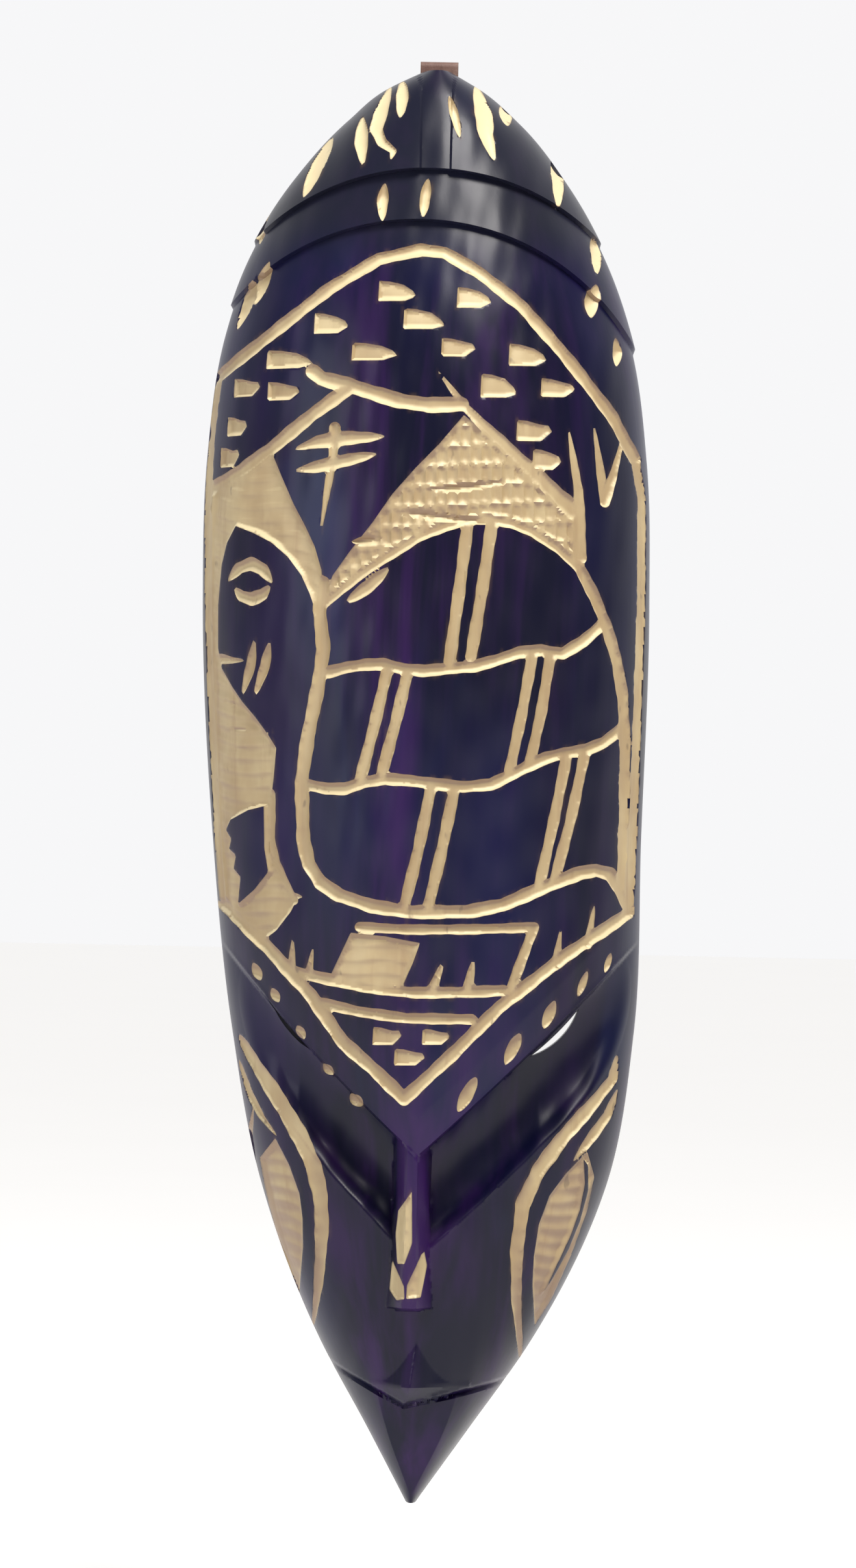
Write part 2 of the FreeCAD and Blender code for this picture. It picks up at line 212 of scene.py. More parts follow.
def backWood():
    s = Shader("back wood")
    ring = s.noise(42, (1, 0.7, 0.05), 4.0, 0.6, 1.2)
    fine = s.noise(300, (1, 0.8, 0.06), 3.0, 0.6)
    blot = s.noise(38, (1, 1, 0.6), 4.0, 0.65, 0.5)
    colour = s.mix(ring.between(0.35, 0.7), back["wood"], back["dark"])
    colour = s.mix(fine.between(0.5, 0.8) * 0.5, colour, back["dark"])
    nearFront = s.attribute("rim")
    spill = (nearFront + (blot - 0.5) * 1.1).between(0.35, 0.6)
    colour = s.mix(spill, colour, back["stain"])
    normal = s.bump(fine * 0.6 + ring * 0.4, 0.0003, 0.6)
    return s.finish(colour=colour, rough=0.62 + 0.12 * fine - 0.25 * spill, normal=normal)


def tabLeather():
    s = Shader("tab leather")
    pores = s.noise(2600, (1, 1, 1), 2.0, 0.6)
    creases = s.noise(420, (1, 1, 0.5), 3.0, 0.6, 0.6)
    blot = s.noise(160, (1, 1, 1), 3.0, 0.6)
    colour = s.mix(blot.between(0.35, 0.7), (0.125, 0.062, 0.048), (0.18, 0.105, 0.082))
    colour = s.mix(creases.between(0.55, 0.75) * 0.5, colour, (0.065, 0.028, 0.02))
    side = (s.x.size() / 0.00525).between(0.93, 1.0)
    colour = s.mix(side * 0.7, colour, (0.10, 0.05, 0.03))
    normal = s.bump(creases * 0.7 + pores * 0.3, 0.0003, 0.7)
    return s.finish(colour=colour, rough=0.46 + 0.2 * pores, normal=normal, sheen=0.1)


def ringSteel():
    s = Shader("ring steel")
    smear = s.noise(900, (1, 1, 1), 3.0, 0.6)
    spots = s.noise(520, (1, 1, 1), 4.0, 0.65)
    colour = s.mix(smear.between(0.4, 0.7), (0.52, 0.52, 0.50), (0.40, 0.39, 0.37))
    colour = s.mix(spots.between(0.6, 0.74) * 0.7, colour, (0.16, 0.09, 0.05))
    return s.finish(colour=colour, metal=1 - spots.between(0.62, 0.76) * 0.6,
                    rough=0.27 + 0.25 * spots, normal=s.bump(smear, 0.00004, 0.4))


def tackBrass():
    s = Shader("tack brass")
    tarnish = s.noise(700, (1, 1, 1), 4.0, 0.65)
    scratch = s.noise(1500, (1, 1, 0.2), 2.0, 0.5)
    colour = s.mix(tarnish.between(0.4, 0.65), (0.55, 0.40, 0.17), (0.24, 0.165, 0.075))
    return s.finish(colour=colour, metal=1.0, rough=0.26 + 0.3 * tarnish,
                    normal=s.bump(scratch, 0.00004, 0.5))


# ---- the block: sizes from the CAD, in mm ----

block = {
    "height": 397.0,
    "wallY": 4.1,            # the wall plane in the CAD's frame
    "chinZ": -394.5,         # the chin's point in the CAD's frame
    "cell": 0.7,
    # height, reach left, reach right, depth of brow, depth of lower face
    "stations": [
        (0, 1.6, 1.6, 10, 10), (20, 12.5, 15.5, 22, 22), (45, 26.5, 32.5, 32, 31),
        (88, 43.5, 52.5, 43, 37), (131, 52.5, 59.5, 47, 39.5), (185, 59, 60.5, 49.5, 42),
        (250, 63, 61.5, 50, 44), (290, 62.5, 60, 48.5, 44), (324, 58, 54.5, 43, 40),
        (346, 50.5, 46.5, 36.5, 35), (367, 38, 34.5, 29, 28), (384, 23, 20.5, 22, 22),
        (393, 12, 9.5, 17, 17), (397, 3.6, 2.2, 14, 14)],
    "hollow": [
        (38, 0.5, 0.5, 0.5), (41, 7, 8.5, 6), (52, 16, 20, 14), (88, 31.5, 40, 22.5),
        (131, 40.5, 47, 25.5), (185, 47, 48.5, 29.5), (250, 51, 49.5, 31),
        (290, 50.5, 48, 30), (322, 44.5, 42, 24), (343, 31, 29, 15),
        (351, 19, 18, 8), (354, 0.5, 0.5, 0.5)],
    "waviness": 0.14,
}

hair = {
    "bandEdge": ((-64, 320), (-0.9, 354), (64, 298)),
    "capEdge": ((-64, 326), (1, 368.3), (64, 315)),
    "bandRise": 2.4, "bandSide": 1.0,
    "capRise": 5.4, "capSide": 2.0,
    "stepWidth": 0.5,
    "partingHalf": 3.6, "partingDepth": 0.9,
}

brow = {
    "point": (0.0, 98.0), "left": (-66.0, 168.0), "right": (66.0, 164.0),
    "leftSag": 2.0, "rightSag": 1.0,
    "stepWidth": 0.9,
    "bevel": 1.6, "bevelFrom": -7.5, "bevelTo": -1.0,     # the edge is planed back a little
    "socketRadius": 12.5, "socketDrop": 9.5, "socketBlend": 7.0,
    "slitFrom": 50.0, "slitBelow": 0.8, "slitLength": 19.0, "slitWidth": 1.7,
    "slitMouth": 28.0, "leftLean": 0.34,      # the left one runs upwards as it goes in
}

nose = {"middle": -1.5, "topZ": 112.0, "baseZ": 56.0, "topHalf": 4.2, "baseHalf": 6.6,
        "crestHalf": 1.5, "topRise": 5.0, "baseRise": 8.0, "steep": 9.0}


def smoothCurve(table, column, at):
    # a smooth curve through one column of a table
    xs = np.array([row[0] for row in table], float)
    ys = np.array([row[column] for row in table], float)
    slope = np.gradient(ys, xs)
    at = np.clip(at, xs[0], xs[-1])
    i = np.clip(np.searchsorted(xs, at) - 1, 0, len(xs) - 2)
    gap = xs[i + 1] - xs[i]
    t = (at - xs[i]) / gap
    a = ys[i] * (1 + 2 * t) * (1 - t) ** 2 + slope[i] * gap * t * (1 - t) ** 2
    b = ys[i + 1] * t * t * (3 - 2 * t) + slope[i + 1] * gap * t * t * (t - 1)
    return a + b


def ramp(value, start, end):
    return np.clip((value - start) / (end - start), 0.0, 1.0)


def circleThrough(points):
    (ax, az), (bx, bz), (cx, cz) = points
    d = 2 * (ax * (bz - cz) + bx * (cz - az) + cx * (az - bz))
    a2, b2, c2 = ax * ax + az * az, bx * bx + bz * bz, cx * cx + cz * cz
    x = (a2 * (bz - cz) + b2 * (cz - az) + c2 * (az - bz)) / d
    z = (a2 * (cx - bx) + b2 * (ax - cx) + c2 * (bx - ax)) / d
    return x, z, math.hypot(ax - x, az - z)


def aboveArc(edge, x, z):
    # how far a point is above an arc, negative below it
    cx, cz, radius = circleThrough(edge)
    return np.hypot(x - cx, np.maximum(z - cz, 0)) - radius


def belowBrow(x, z):
    # how far a point is below the brow's edge
    px, pz = brow["point"]
    sides = []
    for end, sag, side in ((brow["left"], brow["leftSag"], -1),
                           (brow["right"], brow["rightSag"], 1)):
        ex, ez = end[0] - px, end[1] - pz
        length = math.hypot(ex, ez)
        ex, ez = ex / length, ez / length
        nx, nz = (ez, -ex) if side > 0 else (-ez, ex)
        a = (x - px) * ex + (z - pz) * ez
        n = (x - px) * nx + (z - pz) * nz
        share = np.clip(a / length, 0.0, 1.0)
        sides.append(n - sag * 4 * share * (1 - share))
    return np.where(x < px, *sides)


def plane(x, z, a, b, c):
    # the depth at x, z of a plane through three points (x, z, depth)
    a, b, c = (np.array(p, float) for p in (a, b, c))
    normal = np.cross(b - a, c - a)
    return a[2] - (normal[0] * (x - a[0]) + normal[1] * (z - a[1])) / normal[2]


face = {
    "mouthZ": 28.0, "creaseSlope": 1.4, "creaseDepth": 1.6, "creaseFade": (26, 34),
    "lipsTopZ": 52, "lipsMiddle": 1.5, "lipsReach": 19, "lipsFadeFrom": 14,
    "sideLimit": 1.4,        # no cuts nearer the wall than this
    "lipTop": (1.0, 48.5, 31.2), "lipLeft": (-14.5, 34.5, 20.5), "lipRight": (17.5, 34.0, 21.5),
    "lipPeak": (-1.0, 33.5, 33.0), "lipLow": (-2.5, 28.0, 26.5),
    "chinFront": ((0, 30, 22.5), (-5, 11, 15.0), (5, 11, 15.0)),
    "chinLeft": ((-13.5, 30.5, 19.0), (-1.5, 2, 12.0), (-19.5, 28, 4.0)),
    "chinRight": ((20.5, 30, 19.5), (1.5, 2, 12.0), (23.5, 27, 4.0)),
    "mouthLeft": (-23.0, 38.5), "mouthRight": (29.0, 35.5),
}


def mouthLine(x):
    # the mouth's height across the face
    lowX, lowZ = -2.5, face["mouthZ"]
    leftX, leftZ = face["mouthLeft"]
    rightX, rightZ = face["mouthRight"]
    left = lowZ + (leftZ - lowZ) * ramp(lowX - x, 0, lowX - leftX)
    right = lowZ + (rightZ - lowZ) * ramp(x - lowX, 0, rightX - lowX)
    return np.where(x < lowX, left, right)


def noseShape(x, z, faceDepth):
    share = ramp(z, nose["baseZ"], nose["topZ"])
    pinch = 1 - 0.16 * np.sin(np.pi * share)
    half = (nose["baseHalf"] + (nose["topHalf"] - nose["baseHalf"]) * share) * pinch
    rise = nose["baseRise"] + (nose["topRise"] - nose["baseRise"]) * share
    off = np.abs(x - nose["middle"])
    crest = nose["crestHalf"] * (1.3 - 0.5 * share)
    slope = np.clip((half - off) / (half - crest), -9, 1)
    shape = faceDepth + np.where(slope >= 0, rise * slope, slope * (half - crest) * nose["steep"])
    under = (nose["baseZ"] - z) * 3.0        # the underside falls away
    shape = shape - np.clip(under, 0, None) * 2.0
    return np.where(z > nose["topZ"] + 6, -99.0, shape)


def lipsShape(x, z):
    peak = face["lipPeak"]
    ring = [face["lipTop"], face["lipRight"], face["lipLow"], face["lipLeft"]]
    sides = [plane(x, z, a, b, peak) for a, b in zip(ring, ring[1:] + ring[:1])]
    return np.minimum.reduce(sides)


def faceShape(x, z, depth):
    # the lower face: cheeks, sockets, nose, lips and chin
    below = belowBrow(x, z)
    offSocket = np.abs(below - brow["socketDrop"])
    centre = 42.0 - 5.0 * ramp(np.abs(x), 5, 33) - 14.0 * ramp(np.abs(x), 33, 66)
    inside = np.clip(brow["socketRadius"] ** 2 - offSocket ** 2, 0, None)
    scoop = np.where(inside > 0, centre - np.sqrt(inside), 99.0)
    soft = brow["socketBlend"]                       # the scoop ends in a soft edge
    blend = np.clip(0.5 + (scoop - depth) / soft, 0, 1)
    shape = np.where(inside > 0, scoop + (depth - scoop) * blend - soft / 4 * blend * (1 - blend), depth)
    shape = np.maximum(shape, noseShape(x, z, depth))
    line = mouthLine(x)
    for corners in (face["chinFront"], face["chinLeft"], face["chinRight"]):
        cut = plane(x, z, *corners)
        shape = np.where(z < line, np.minimum(shape, cut), shape)
    aside = np.abs(x - face["lipsMiddle"])
    onLips = (z < face["lipsTopZ"]) & (z > line - 1.0) & (aside < face["lipsReach"])
    lips = lipsShape(x, z) - 8 * ramp(aside, face["lipsFadeFrom"], face["lipsReach"])
    shape = np.where(onLips, np.maximum(shape, lips), shape)
    crease = np.abs(z - line) * face["creaseSlope"] - face["creaseDepth"]
    creaseFade = ramp(np.abs(x), *face["creaseFade"])
    shape = np.where(crease < 0, shape + crease * (1 - creaseFade), shape)
    return shape


def sumOfWaves(a, b, seed, count=9, low=0.02, high=0.11):
    # gentle unevenness left by the knife
    rng = np.random.default_rng(seed)
    total = np.zeros_like(a)
    for _ in range(count):
        angle = rng.uniform(0, math.tau)
        pace = rng.uniform(low, high) * math.tau
        across = a * math.cos(angle) * 1.6 + b * math.sin(angle) * 0.6
        total += np.sin(across * pace + rng.uniform(0, 6))
    return total / count ** 0.5


# ---- the cut picture: strokes and cleared areas, seen from the front, in mm ----
# a stroke is its shape, half its width, and the x and z of the points it runs through;
# "line" keeps its width, "lens" is pointed at both ends, "fang" at its last point

hairCuts = {
    "depth": 1.3,
    "strokes": [
    ("lens", 1.6, [-8.5, 394.5, -9.2, 388, -9.8, 383]),
    ("lens", 1.7, [-11.5, 393.5, -14.5, 385, -16, 380, -14.5, 376, -11.5, 373.5, -12.2, 371]),
    ("lens", 1.7, [-19.3, 384, -19.9, 376, -19.5, 369.5]),
    ("lens", 1.8, [-27.3, 378.5, -31.5, 370, -35.2, 361]),
    ("lens", 1.0, [-43, 362, -46, 356, -48, 348.5]),
    ("lens", 1.5, [-45, 343, -47.5, 337, -49.8, 331]),
    ("lens", 1.5, [-49.6, 338, -52, 331, -54.5, 324.5]),
    ("lens", 1.1, [2.5, 389.5, 4.3, 383, 5.6, 377.5]),
    ("lens", 2.1, [8.3, 394, 11.5, 384, 12.2, 379, 14.7, 371.5]),
    ("lens", 1.5, [15.3, 388.5, 17, 385, 17.7, 382]),
    ("lens", 1.7, [30.2, 376.5, 31.6, 368, 32, 359.5]),
    ("lens", 1.5, [42.3, 352, 43.6, 347, 43.8, 341.5]),
    ("lens", 2.0, [43.6, 338.5, 43.2, 334, 43.2, 329]),
    ("lens", 1.3, [50.2, 324, 50.8, 320, 50.5, 316]),
    ("lens", 1.5, [-14, 364.5, -14.6, 359, -14.5, 353.8]),
    ("lens", 1.5, [-2.4, 366, -3.2, 360, -3.6, 355]),
    ],
}

borderCuts = {
    "depth": 1.1,
    "strokes": [
    ("line", 1.75, [-59.5, 311.5, -45.5, 322, -29, 335, -15.5, 343.3, -4, 346,
        2.5, 345.3, 12, 340, 24, 331, 36.5, 317.5, 49.5, 302,
        56.3, 290.5]),
    ("line", 1.25, [56.3, 290.5, 58.4, 280, 58.9, 253.5, 58.4, 222, 58, 190.5, 57.2, 165.5]),
    ("line", 0.95, [-59.5, 311.5, -61.2, 295, -61.9, 275, -61.3, 250, -59.8, 220,
        -57.6, 187, -55.4, 165]),
    ("line", 1.9, [-55, 165.2, -42, 153.5, -30, 141, -21, 128.5, -12, 121, -4, 113.5]),
    ("line", 1.8, [57, 165, 39, 153, 21.5, 139, 9, 126, -4, 113.5]),
    ],
}

browCuts = {
    "depth": 1.0,
    "strokes": [
    ("lens", 1.3, [-46.4, 149.4, -44.2, 144.6]), ("lens", 1.2, [-41, 142.6, -39, 138.8]),
    ("lens", 1.3, [-33.8, 132.6, -31.6, 129]), ("lens", 1.4, [-26.4, 122.2, -23.6, 119.2]),
    ("lens", 1.7, [-18.8, 114, -15.4, 110.8]),
    ("lens", 0.9, [52.2, 154, 50.6, 148.6]), ("lens", 1.1, [45.6, 149, 43.2, 142]),
    ("lens", 1.5, [36.8, 141, 33.8, 133.2]), ("lens", 1.7, [27.4, 132, 23.4, 123.2]),
    ("lens", 1.9, [15.6, 119.8, 10.8, 110.2]),
    ],
}

notchCuts = {  # left, right, low, high, and how far the tip sits up the cut
    "depth": 1.0,
    "notches": [
        (-15.5, -5, 331.5, 337.2, 0.25), (6, 15.5, 330, 335.8, 0.3), (-33, -23.5, 322.4, 328.2, 0.35),
        (-8.5, 3, 323.8, 329.6, 0.2), (-46, -33, 312.8, 318, 0.25), (-22.5, -10, 315, 320, 0.3),
        (2, 11.5, 316.4, 321.6, 0.45), (20.5, 31, 314.4, 320.6, 0.3), (-55, -47.5, 305.2, 310.4, 0.5),
        (-45.5, -36.5, 304, 309.2, 0.45), (13, 23, 305.4, 312, 0.2), (29.5, 39, 306.2, 311.4, 0.45),
        (-56.6, -51, 294.4, 299.8, 0.5), (23, 32.8, 293.8, 299.6, 0.5), (-58.4, -53, 285.8, 291.4, 0.6),
        (27.6, 35.6, 286, 291.8, 0.4), (-13, -5, 128, 133, 0.55), (0.5, 8.2, 128.4, 132.8, 0.5),
        (-7, 1.5, 122.6, 127.2, 0.5)],
}

sceneCuts = {
    "depth": 1.1,
    "strokes": [
    # the hills
    ("line", 2.1, [-33, 312, -30.5, 310, -23.5, 308.3, -16, 306, -9, 304, -1, 303, 8, 303.4]),
    ("line", 1.9, [-23.5, 307, -33, 300, -44, 290.8, -52, 285, -60.3, 280.3]),
    ("fang", 2.5, [39.6, 275, 27, 286, 16, 296, 9, 302.5, 1.2, 312.4]),
    # the shell's rim and the line down the neck
    ("line", 1.5, [-28.5, 248.5, -19, 256.5, -10, 262.5, -3, 267, 4, 270, 10, 271.8,
        15.5, 272.3, 22, 271.3, 28.5, 269, 35, 265, 41, 260]),
    ("line", 1.6, [41, 260, 45.5, 252, 49, 244, 52, 235, 54, 225, 55, 211.5,
        55.2, 190.5, 55, 172.5]),
    ("line", 1.9, [-29, 254, -29.8, 246.5, -28.5, 236, -29.8, 225.5, -32.3, 212,
        -33.8, 199.5, -33, 183.5, -31.4, 177, -28, 172, -23, 168.8, -14, 166,
        -3.5, 164.6, 12.5, 165, 22, 167, 32, 171.5, 38.5, 174.2, 43, 176,
        47.5, 176.8, 51.5, 175.8, 54.5, 172, 57, 166.5]),
    # the plates' lines
    ("line", 1.65, [-27, 229.6, -22, 231, -17, 231.8, -12, 232, -6.5, 230.8, -1, 230.4,
        6, 231.2, 13, 232, 19, 233.8, 25, 236, 31, 236.8, 37, 236,
        42.5, 239.5, 48, 244.5]),
    ("line", 1.65, [-32.5, 198.8, -27, 197.8, -22, 197.8, -17, 199.6, -11, 200.8,
        -4, 200.4, 3, 199.6, 10.5, 199, 18, 199.8, 23, 202.3, 28, 205,
        33, 207.4, 38, 208.8, 44, 209.8, 49, 212, 54, 216]),
    ("line", 1.65, [10.2, 270.5, 8.2, 252, 6, 233]),
    ("line", 1.65, [16.8, 271, 14.4, 252, 11.8, 234.5]),
    ("line", 1.6, [-11, 230, -14, 216, -17.8, 200]),
    ("line", 1.6, [-5.4, 229.8, -8.4, 216, -12.2, 200.8]),
    ("line", 1.5, [28.6, 235, 26, 219, 23, 203.5]),
    ("line", 1.5, [33.6, 235.4, 31.4, 220, 28.6, 206]),
    ("line", 1.6, [1.6, 198.5, -1.4, 182, -5, 166]),
    ("line", 1.6, [8, 198, 5, 182, 1.6, 166.4]),
    ("line", 1.5, [38.6, 207.6, 35.4, 190, 31.8, 172.4]),
    ("line", 1.5, [43.6, 208.4, 40, 190, 36, 174]),
    # tree, reeds
    ("lens", 2.1, [-37.5, 290.6, -31, 292.6, -24, 293.6, -13, 294.2]),
    ("lens", 1.9, [-37.5, 284.6, -31, 285.8, -24, 287.4, -15, 289.4]),
    ("fang", 1.5, [-26.6, 296.5, -27, 288, -28.4, 279, -30, 267.5]),
    ("fang", 2.0, [41, 262.5, 41, 270, 40.4, 281, 37.4, 297.5]),
    ("fang", 1.5, [47.9, 278, 46.4, 287, 44.4, 299]),
    ("fang", 1.5, [47.9, 278, 50.2, 286, 52.9, 297]),
    # a slip of the gouge under the rim
    ("lens", 1.9, [-22.5, 248.6, -16.5, 253.2, -11, 258.4]),
    # the head: nostril, cheek, brow of the eye
    ("fang", 1.4, [-57, 233, -54, 232.6, -50.4, 232.6]),
    ("lens", 1.3, [-47.6, 238.6, -48.6, 231, -50.8, 223]),
    ("lens", 1.4, [-43.4, 237.8, -44.6, 231, -47.2, 223]),
    ("lens", 1.9, [-55.4, 254.4, -52.4, 258, -49, 259.2, -45.8, 257.6, -43, 253.8]),
    ("lens", 1.9, [-53.6, 252.6, -51.4, 250.2, -48.6, 249.4, -45.8, 250.6, -43.6, 253.2]),
    # the front leg's edge
    ("line", 1.3, [-42.2, 196, -42.2, 184, -40.6, 177, -37.6, 171, -35.4, 167]),
    # the ground and the hind leg
    ("fang", 1.2, [-35.6, 147, -35.4, 157]), ("fang", 1.1, [-30.8, 147, -29.8, 154]),
    ("line", 1.6, [-34.5, 147.4, -25, 145.6, -16.5, 144, -2.5, 142.6, 10, 142.9, 22.5, 143.6]),
    ("line", 1.5, [-29, 139.5, -16.5, 137, -4, 135.6, 14, 135.6]),
    ("line", 1.4, [-17, 160.2, -4, 159.8, 14, 160.2, 30.6, 161]),
    ("line", 1.4, [30.6, 161, 27.4, 152, 24.6, 144]),
    ("fang", 1.5, [3.2, 143.8, 5.8, 151]), ("fang", 1.5, [12.8, 144, 14.2, 152]),
    ("fang", 1.3, [36.8, 150.6, 38, 160.6]), ("fang", 1.3, [45.6, 156.4, 47.2, 167]),
    ("fang", 1.2, [-37, 168.5, -33, 168]),
    ],
}

clearedAreas = {
    "depth": 0.85,
    "slope": 0.9,
    "areas": [
    # the sun-lit hill over the shell
    [8.6, 300.5, 17, 294, 26, 285.5, 34, 278, 39.8, 271.5, 41.2, 262, 35, 266,
     28.5, 269.8, 22, 272, 15.5, 273, 4, 270.6, -10, 263.4, -19, 257, -28.8, 249.2,
     -26.4, 256, -22, 262.4, -15.5, 271, -10.5, 278.5, -4.6, 285.4, 2, 292.4],
    # the bank round the head, down the throat, to the front foot
    [-60.6, 281, -52, 284, -44, 290, -40.5, 282, -37.5, 275.5, -34.2, 269.5,
     -31.5, 264, -29.5, 257.5, -28.6, 250, -31, 246.6, -32.6, 251, -35, 256,
     -38.8, 261, -43.5, 265, -48.6, 267.6, -53.6, 269.6, -56, 265, -57.4, 259,
     -58.2, 248, -58, 236, -56.8, 230.4, -53.5, 225, -50.6, 221, -47, 217,
     -43.6, 212.6, -41, 208.6, -41.6, 200, -42.4, 192.6, -42, 181, -38.6, 173,
     -35.6, 168, -34, 168.6, -36, 164, -40, 158.6, -44.5, 155, -50, 160, -55, 165,
     -57.6, 185, -60.2, 220, -61.6, 250, -61.6, 268],
    # the hind foot
    [-19.5, 158.6, -10, 157.8, -0.5, 156.2, -2.4, 150.6, -5.4, 143.4, -15, 143.6, -25.6, 145],
    # cheeks
    [-39.4, 101, -35.4, 93.8, -32.4, 86, -31.4, 79, -31.2, 71, -32.2, 56.4, -36.6, 66.5,
     -39.8, 77, -42.6, 88, -43.8, 95],
    [46.8, 99, 41, 93, 36.6, 87, 33.8, 79, 32.6, 70, 32.4, 62, 33.4, 50, 38, 57.5,
     43.2, 70, 47.2, 82, 49, 92],
    ],
    # dark islands left standing in the cleared areas
    "islands": [
    [-44.2, 192.6, -48.6, 191.4, -53.6, 188.6, -54.8, 185.8, -53.2, 183.4, -53.8, 180.6,
     -51.8, 179, -52.4, 175.2, -50.4, 173, -51, 165.4, -46.4, 169.6, -42.6, 174.6,
     -43.8, 181],
    [45.8, 97, 46.4, 90, 45.2, 82.6, 42.6, 75, 39, 67, 36, 60, 38.4, 64, 42.4, 71.6,
     45.4, 79.6, 47.4, 88, 47.2, 95],
    ],
}

cheekCuts = {
    "depth": 1.1,
    "strokes": [
    ("swell", 2.3, [-50.2, 129, -45.5, 121.5, -40.5, 114.4, -36.2, 108, -32.2, 101.4,
        -28.6, 94, -26.6, 86, -26, 78, -26.2, 69, -26.8, 60, -28.2, 48]),
    ("lens", 1.0, [-50.2, 122, -47, 113, -43.4, 106.6, -39, 101.6]),
    ("lens", 0.8, [-45.8, 109, -46.8, 101, -45.6, 93, -43.4, 87]),
    ("swell", 2.1, [54.6, 125.5, 53.6, 119, 47.6, 111.6, 39.6, 102.6, 33.4, 94, 29.2, 84.6,
        27.8, 72, 28, 58, 29.4, 45, 29.8, 38.6]),
    ("lens", 1.5, [55, 116, 52.4, 109, 47, 101.6, 43, 96.4]),
    ],
}

deepCuts = {  # cut over the hatching and in the bank round the head
    "depth": 2.3,
    "strokes": [
    ("lens", 1.3, [-4, 279.6, 10, 280.6, 24.5, 283.4]),
    ("lens", 1.2, [-13, 273.8, 3, 272.4, 19, 270.8]),
    ("lens", 1.2, [-21.5, 265.2, -12.5, 266.2]),
    ("lens", 0.5, [-55.5, 277, -42, 276.6]), ("lens", 0.45, [-48, 268.9, -37.3, 269.2]),
    ("lens", 0.45, [-59, 222, -50, 219.4]), ("lens", 0.5, [-58.6, 213.6, -42.6, 213]),
    ("lens", 0.45, [-58, 208.2, -43.4, 207.4]), ("lens", 0.4, [-57, 203.4, -46, 202.6]),
    ("lens", 0.45, [-13.6, 154.4, -5.4, 153.2]),
    ],
}

noseCuts = {
    "depth": 0.8,
    "areas": [
    [-5, 82.6, -1.4, 88.2, -1, 74, -3, 68.2, -5, 68, -5.6, 76],
    [-6.4, 69, -3, 62, -2.8, 58.6, -5, 58, -7, 60.6],
    [2.2, 72.2, 3.2, 67.6, 1.6, 59, -2.4, 58.6, -2.2, 62.4],
    ],
}

hatching = {"rows": 5.4, "pitch": 3.0, "depth": 1.15}


def pairs(flat):
    return list(zip(flat[::2], flat[1::2]))


def lengths(points):
    gaps = [math.dist(a, b) for a, b in zip(points, points[1:])]
    return [sum(gaps[:i]) for i in range(len(points))]


def widthAlong(kind, share):
    if kind == "lens":
        return np.sin(np.pi * np.clip(share, 0.001, 0.999)) ** 0.62
    if kind == "fang":
        return np.clip(1 - share, 0.0, 1) ** 0.55
    if kind == "swell":
        return np.sin(np.pi * np.clip(share, 0.0, 1.0) ** 0.72) ** 0.55
    return np.ones_like(share)


def strokeField(x, z, stroke, seed):
    # signed distance to a stroke's edge, and how deep its trough runs
    kind, half, points = stroke
    best = np.full(x.shape, 99.0)
    depth = np.zeros(x.shape)
    marks = lengths(points)
    total = marks[-1]
    for (ax, az), (bx, bz), start in zip(points, points[1:], marks):
        dx, dz = bx - ax, bz - az
        span = math.hypot(dx, dz)
        t = np.clip(((x - ax) * dx + (z - az) * dz) / span ** 2, 0, 1)
        away = np.hypot(x - ax - t * dx, z - az - t * dz)
        share = (start + t * span) / total
        run = share * total
        wobble = 1 + 0.06 * np.sin(run * 0.45 + seed * 1.7) + 0.03 * np.sin(run * 1.3 + seed)
        width = half * widthAlong(kind, share) * wobble
        edge = away - width
        round = np.sqrt(np.clip(1 - (away / np.maximum(width, 0.05)) ** 2, 0, 1))
        trough = round * np.minimum(width / half, 1)
        best, depth = np.where(edge < best, edge, best), np.where(edge < best, trough, depth)
    return best, depth


def areaField(x, z, points):
    # signed distance to a closed outline, negative inside
    best = np.full(x.shape, 99.0)
    inside = np.zeros(x.shape, bool)
    for (ax, az), (bx, bz) in zip(points, points[1:] + points[:1]):
        dx, dz = bx - ax, bz - az
        t = np.clip(((x - ax) * dx + (z - az) * dz) / (dx * dx + dz * dz), 0, 1)
        best = np.minimum(best, np.hypot(x - ax - t * dx, z - az - t * dz))
        if az != bz:
            crossing = (az > z) != (bz > z)
            inside ^= crossing & (x < ax + (z - az) * dx / dz)
    return np.where(inside, -best, best)


def notchOutline(left, right, low, high, tip):
    length, height = right - left, high - low
    return [(left, low), (left + 0.02 * length, high), (left + 0.3 * length, high - 0.03 * height),
            (left + 0.66 * length, low + 0.82 * height), (left + 0.9 * length, low + (tip + 0.28) * height),
            (right, low + tip * height), (left + 0.7 * length, low + 0.03 * height)]


def nearBox(x, z, points, reach):
    xs, zs = zip(*points)
    return np.flatnonzero((x > min(xs) - reach) & (x < max(xs) + reach)
                          & (z > min(zs) - reach) & (z < max(zs) + reach))


def addCut(edge, depth, x, z, points, reach, shape):
    # lays one cut into the running distance and depth
    near = nearBox(x, z, points, reach)
    cutEdge, cutDepth = shape(x[near], z[near])
    edge[near] = np.minimum(edge[near], cutEdge)
    depth[near] = np.maximum(depth[near], cutDepth)


def hatchDepth(x, z):
    # rows of short upright gouges, leaning a little; the long cuts between some rows are drawn in deepCuts
    slant = z - 0.06 * x
    row = np.floor(slant / hatching["rows"])
    jitter = np.sin(row * 12.9898) * 0.5
    upright = np.abs(np.sin((x / hatching["pitch"] + jitter + 0.03 * slant) * np.pi)) ** 0.7
    ends = np.sin(np.pi * np.clip(slant / hatching["rows"] - row, 0, 1)) ** 0.4
    return hatching["depth"] * upright * ends


def scrapeDepth(x, z):
    # the flat-gouge marks left when an area is cleared
    slant = z + 0.15 * x + 1.2 * np.sin(x * 0.21)
    return 0.26 * np.abs(np.sin(slant * 0.82)) + 0.16 * np.sin(x * 0.5 + 1.3 * np.sin(z * 0.35))


